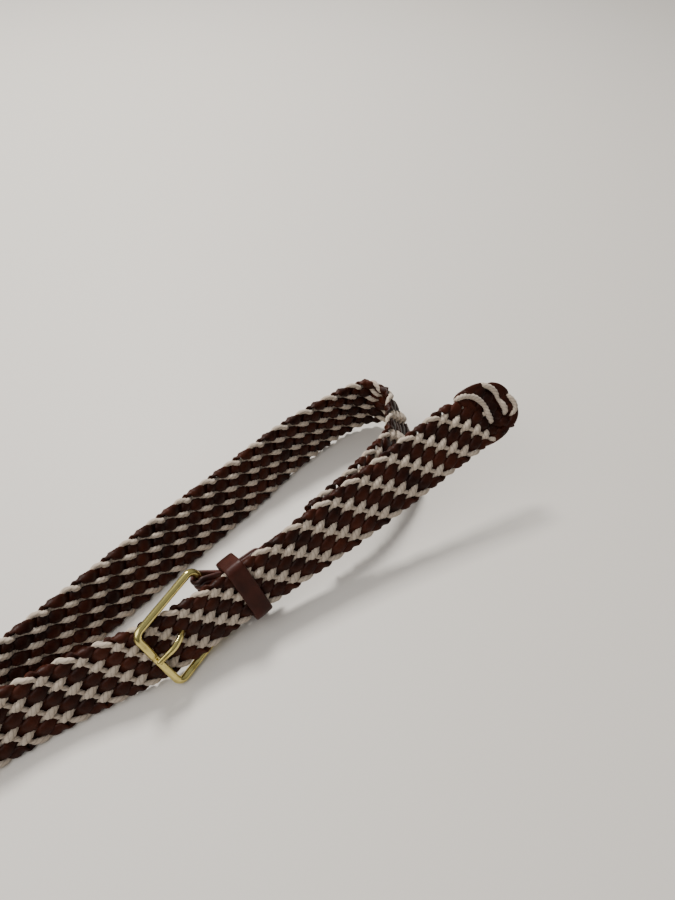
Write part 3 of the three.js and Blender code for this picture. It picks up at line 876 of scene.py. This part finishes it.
flat, out = rounded_rectangle(BUCKLE_LENGTH / 2, BUCKLE_INSIDE / 2 + BAR_RADIUS, BUCKLE_CORNER,
                              CORNER_STEPS, SIDE_STEPS)
way = buckle_centre + flat[:, :1] * inward + flat[:, 1:] * buckle_across
outward = out[:, :1] * inward + out[:, 1:] * buckle_across
from_seat = np.where(flat[:, 0] < OUTER_BAR, np.abs(flat[:, 1] - PRONG_ASIDE), BUCKLE_LENGTH)
seat = 1 - smooth_step(from_seat, *SEAT_FADES)
collar = smooth_step(from_seat, *COLLAR_RISES) * (1 - smooth_step(from_seat, *COLLAR_FALLS))
angle = 2 * np.pi * np.arange(BAR_SIDES) / BAR_SIDES
filed = SEAT_DEPTH * seat[:, None] * np.maximum(np.cos(angle), 0)
radius = BAR_RADIUS * (1 + COLLAR_HEIGHT * collar[:, None] - filed)
rings = rings_round(way, buckle_normal, radius * np.cos(angle), outward, radius * np.sin(angle))
buckle_frame = tube_mesh("brass_frame", [(loop_reach(way), rings)])

# Brass: warm yellow, with fine lengthwise polishing lines and a little tarnish in dull spots.
BRASS_LINES = 30.0
BRASS_LINE_SCALE = 1.3
BRASS_LINE_SPAN = (0.3, 0.7)
BRASS_LINE_ROUGH = (0.12, 0.22)
BRASS_SPOT_SCALE = 160.0
BRASS_SPOT_SPAN = (0.52, 0.72)
BRASS_SPOT_ROUGHER = 0.12
BRASS_RELIEF = 0.1 * MM

brass_look, given, result = group_with(
    "polished_brass", {"Lines": "Float"}, {"Tarnish": "Float", "Roughness": "Float", "Height": "Float"})
lie = add(brass_look, "UVMap", uv_map="along_strand")
split = add(brass_look, "SeparateXYZ", {0: lie.outputs["UV"]})
stretched = maths(brass_look, "MULTIPLY", split.outputs["Y"], given.outputs["Lines"])
lines_way = add(brass_look, "CombineXYZ", {"X": split.outputs["X"], "Y": stretched})
lines = add(brass_look, "TexNoise", {"Vector": lines_way.outputs[0], "Scale": BRASS_LINE_SCALE,
                                     "Detail": 3.0})
place_on = add(brass_look, "TexCoord").outputs["Object"]
spots = add(brass_look, "TexNoise", {"Vector": place_on, "Scale": BRASS_SPOT_SCALE, "Detail": 4.0,
                                     "Roughness": 0.6})
tarnish = remapped(brass_look, spots.outputs["Fac"], BRASS_SPOT_SPAN, (0.0, 1.0))
rough_lines = remapped(brass_look, lines.outputs["Fac"], BRASS_LINE_SPAN, BRASS_LINE_ROUGH)
feed(brass_look, result, {
    "Tarnish": tarnish,
    "Roughness": maths(brass_look, "MULTIPLY_ADD", tarnish, BRASS_SPOT_ROUGHER, rough_lines),
    "Height": lines.outputs["Fac"],
})


def brass_material(name, bright, dull):
    material, tree, shader = new_material(name)
    look = add(tree, "Group", {"Lines": BRASS_LINES}, node_tree=brass_look)
    relief = add(tree, "Bump", {"Height": look.outputs["Height"], "Strength": 0.10,
                                "Distance": BRASS_RELIEF})
    feed(tree, shader, {
        "Base Color": blended(tree, look.outputs["Tarnish"], (*bright, 1), (*dull, 1)),
        "Roughness": look.outputs["Roughness"],
        "Normal": relief.outputs["Normal"],
        "Metallic": 1.0,
    })
    return material


buckle_frame.data.materials.append(brass_material("yellow_brass", (0.66, 0.56, 0.20), (0.42, 0.33, 0.10)))
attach(buckle_frame, "root")
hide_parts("buckle_frame")


# --- Prong: forged brass, an eye bent loosely round the heel bar and a slim rounded arm that goes up
# through the braid, over a low bend and down to its seat on the outer bar.
PRONG_HEIGHT = 2.3 * MM
PRONG_RING_INSIDE = 2.55 * MM
PRONG_RING_WALL = 1.4 * MM
PRONG_RING_WIDTH = 4.4 * MM
PRONG_RING_STEPS = 48
PRONG_SIDES = 22
PRONG_ROUNDING = 0.85
PRONG_ENDS = (0.45, 0.8, 0.94)
PRONG_STEPS = 9
PRONG_ROUTE = np.array([
    # reach as a share of the buckle, rise as a share of the prong's height, width mm, height mm
    (-0.03, 1.45, 3.0, 2.3),
    (0.12, 1.30, 3.0, 2.3),
    (0.34, 0.70, 2.9, 2.2),
    (0.50, 0.30, 2.9, 2.2),
    (0.58, 0.75, 3.1, 2.3),
    (0.67, 1.65, 3.4, 2.5),
    (0.79, 2.22, 3.3, 2.3),
    (0.90, 1.90, 2.9, 2.1),
    (0.98, 1.60, 2.6, 1.9),
    (1.045, 1.45, 2.1, 1.5),
])

fine = catmull_rom(PRONG_ROUTE, PRONG_STEPS)
way = prong_eye - inward * fine[:, :1] * BUCKLE_LENGTH + buckle_normal * fine[:, 1:2] * PRONG_HEIGHT
arm_up = unit(np.cross(np.gradient(way, axis=0), -buckle_across))
flat, deep = squarish(PRONG_SIDES, PRONG_ROUNDING, PRONG_ROUNDING)
rings = rings_round(way, -buckle_across, fine[:, 2:3] * MM / 2 * flat, arm_up, fine[:, 3:4] * MM / 2 * deep)
arm = (reach_along(way), rounded_ends(rings, way, PRONG_ENDS))
turn = np.linspace(0, 2 * np.pi, PRONG_RING_STEPS, endpoint=False)[:, None]
out = inward * np.cos(turn) - buckle_normal * np.sin(turn)
way = prong_eye + out * (PRONG_RING_INSIDE + PRONG_RING_WALL / 2)
rings = rings_round(way, buckle_across, PRONG_RING_WIDTH / 2 * flat, out, PRONG_RING_WALL / 2 * deep)
prong = tube_mesh("brass_prong", [arm, (loop_reach(way), rings)])
prong.data.materials.append(brass_material("prong_brass", (0.67, 0.57, 0.21), (0.43, 0.34, 0.11)))
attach(prong, "root")
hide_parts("prong")


# --- Leather fold: the braid's six leather strips, laid side by side round the heel bar and back along
# the inner side. They part in the middle for the prong's eye and lie waxed and smooth, edges rounded.
FOLD_LEG_DEPTH = 3.85 * MM
FOLD_TAIL_DEPTH = 6.55 * MM
FOLD_TAIL = 30 * MM
FOLD_TAIL_SHARES = (0.29, 0.45, 0.7, 1.0)
FOLD_INTO_BRAID = 9 * MM
FOLD_WRAP = 3.65 * MM
FOLD_WRAP_DEGREES = range(0, 240, 20)
FOLD_START = INNER_ROUTE[0][0] * LOOP_LENGTH - 1.1 * MM
FOLD_LEG_POINTS = 12
FOLD_LEG_END = 0.2
FOLD_CLOSES = (7 * MM, 17 * MM)
FOLD_STEPS = 8
FOLD_STEP = 0.8 * MM
FOLD_THICKER = 1.1
FOLD_STRIP_GAP = 0.35
FOLD_STRIPS = [
    # across and width where the strips lie evenly, and the same beside the prong's eye, in mm. The gap
    # is taken off each width.
    (-11.7, 4.7, -12.1, 4.1),
    (-7.0, 4.7, -8.0, 4.1),
    (-2.3, 4.7, -4.0, 4.0),
    (2.3, 4.7, 6.1, 3.3),
    (7.0, 4.7, 9.3, 3.3),
    (11.7, 4.7, 12.4, 3.3),
]


def fold_stations():
    """Middle, across and how far the strips are parted, along the whole fold."""
    start = FOLD_START + shift[0]
    leg_end = heel_x + FOLD_LEG_END * (start - heel_x)
    rows = []
    for x in np.linspace(start + FOLD_INTO_BRAID, leg_end, FOLD_LEG_POINTS):
        mid, across, normal = on_near(x)
        parted = 1 - smooth_step(x - heel_x, *FOLD_CLOSES)
        rows.append((*(mid - normal * FOLD_LEG_DEPTH), *across, parted))
    for degrees in FOLD_WRAP_DEGREES:
        angle = np.radians(degrees)
        out = buckle_normal * np.cos(angle) - inward * np.sin(angle)
        rows.append((*(heel + out * FOLD_WRAP), *buckle_across, 1))
    for share in FOLD_TAIL_SHARES:
        mid, across, normal = on_near(heel_x + share * FOLD_TAIL)
        parted = 1 - smooth_step(share * FOLD_TAIL, *FOLD_CLOSES)
        rows.append((*(mid - normal * FOLD_TAIL_DEPTH), *across, parted))
    return np.array(rows)


fold_rows = catmull_rom(fold_stations(), FOLD_STEPS)
fold_middle = fold_rows[:, :3]
fold_across = unit(fold_rows[:, 3:6])
fold_normal = unit(np.cross(unit(np.gradient(fold_middle, axis=0)), fold_across))
fold_parted = np.clip(fold_rows[:, 6], 0, 1)
runs = []
for even_v, even_width, parted_v, parted_width in FOLD_STRIPS:
    v = (even_v + (parted_v - even_v) * fold_parted) * MM
    width = even_width + (parted_width - even_width) * fold_parted - FOLD_STRIP_GAP
    way = fold_middle + fold_across * v[:, None]
    runs.append(strip_run(*even_way(way, fold_normal, width, np.zeros(len(way)), FOLD_STEP), FOLD_THICKER))
fold = tube_mesh("leather_fold", runs)
fold.data.materials.append(leather_material(
    "fold_leather", dark=(0.016, 0.0042, 0.0028), light=(0.090, 0.0200, 0.0120),
    cloud_scale=110.0, pore_scale=2400.0, bump=0.25, shine=0.35))
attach(fold, "root")
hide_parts("buckle_fold")


# --- Keeper: a band of firm smooth leather bent round strap and fold, its ends lapped and glued at the
# back. The edges are bevelled, dyed and burnished, with a creased line along each.
KEEPER_WIDTH = 9.8 * MM
KEEPER_WALL = 1.6 * MM
KEEPER_HIGH = 2.85 * MM
KEEPER_LOW = -10.25 * MM
KEEPER_INSIDE = 30.9 * MM
KEEPER_RAISE = 0.4 * MM
KEEPER_CORNER = 2.8 * MM
KEEPER_FROM_HEEL = 14.4 * MM
KEEPER_SKEW = 5
KEEPER_STEPS = (10, 24)
KEEPER_FACE_POINTS = 25
KEEPER_BACK_POINTS = 11
KEEPER_CROWN = 0.10 * MM
# The bevel takes this share of the wall off at the very edge; the higher the power, the narrower it is
KEEPER_BEVEL = 0.62
KEEPER_BEVEL_POWER = 14
# The creased line: its depth, its place and its breadth as shares of half the keeper's width
CREASE_DEPTH = 0.11 * MM
CREASE_PLACE = 0.80
CREASE_BREADTH = 0.035
KEEPER_LAP = 14 * MM
LAP_LIFT = 0.95 * KEEPER_WALL
LAP_WIDTH = 0.985 * KEEPER_WIDTH

keeper_mid, keeper_across, keeper_normal = on_near(heel_x + KEEPER_FROM_HEEL)
keeper_ahead = rotated(np.cross(keeper_across, keeper_normal), keeper_normal, KEEPER_SKEW)
keeper_across = rotated(keeper_across, keeper_normal, KEEPER_SKEW)
keeper_centre = keeper_mid + keeper_normal * (KEEPER_HIGH + KEEPER_LOW) / 2 + keeper_across * KEEPER_RAISE
flat, out = rounded_rectangle((KEEPER_HIGH - KEEPER_LOW + KEEPER_WALL) / 2,
                              (KEEPER_INSIDE + KEEPER_WALL) / 2, KEEPER_CORNER, *KEEPER_STEPS)
way = keeper_centre + flat[:, :1] * keeper_normal + flat[:, 1:] * keeper_across
out = out[:, :1] * keeper_normal + out[:, 1:] * keeper_across
w = np.concatenate([np.linspace(-1, 1, KEEPER_FACE_POINTS),
                    np.linspace(1, -1, KEEPER_BACK_POINTS + 2)[1:-1]])
side = np.concatenate([np.ones(KEEPER_FACE_POINTS), -np.ones(KEEPER_BACK_POINTS)])
bevel = 1 - KEEPER_BEVEL * np.abs(w) ** KEEPER_BEVEL_POWER
crease = CREASE_DEPTH * np.exp(-((np.abs(w) - CREASE_PLACE) / CREASE_BREADTH) ** 2)
deep = side * bevel * KEEPER_WALL / 2 + (side > 0) * (KEEPER_CROWN * (1 - w ** 2) - crease)
band = rings_round(way, -keeper_ahead, KEEPER_WIDTH / 2 * w, out, deep)
behind = (flat[:, 0] < 0) & (np.abs(flat[:, 1]) < KEEPER_LAP / 2)
lap = way[behind] + out[behind] * LAP_LIFT
lap_band = rings_round(lap, -keeper_ahead, LAP_WIDTH / 2 * w, out[behind], deep)
keeper = tube_mesh("leather_keeper", [(loop_reach(way), band), (reach_along(lap), lap_band)])
keeper.data.materials.append(leather_material(
    "keeper_leather", dark=(0.022, 0.0042, 0.0018), light=(0.066, 0.0120, 0.0055),
    cloud_scale=60.0, pore_scale=2000.0, bump=0.22, shine=0.22))
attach(keeper, "root")
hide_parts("keeper")
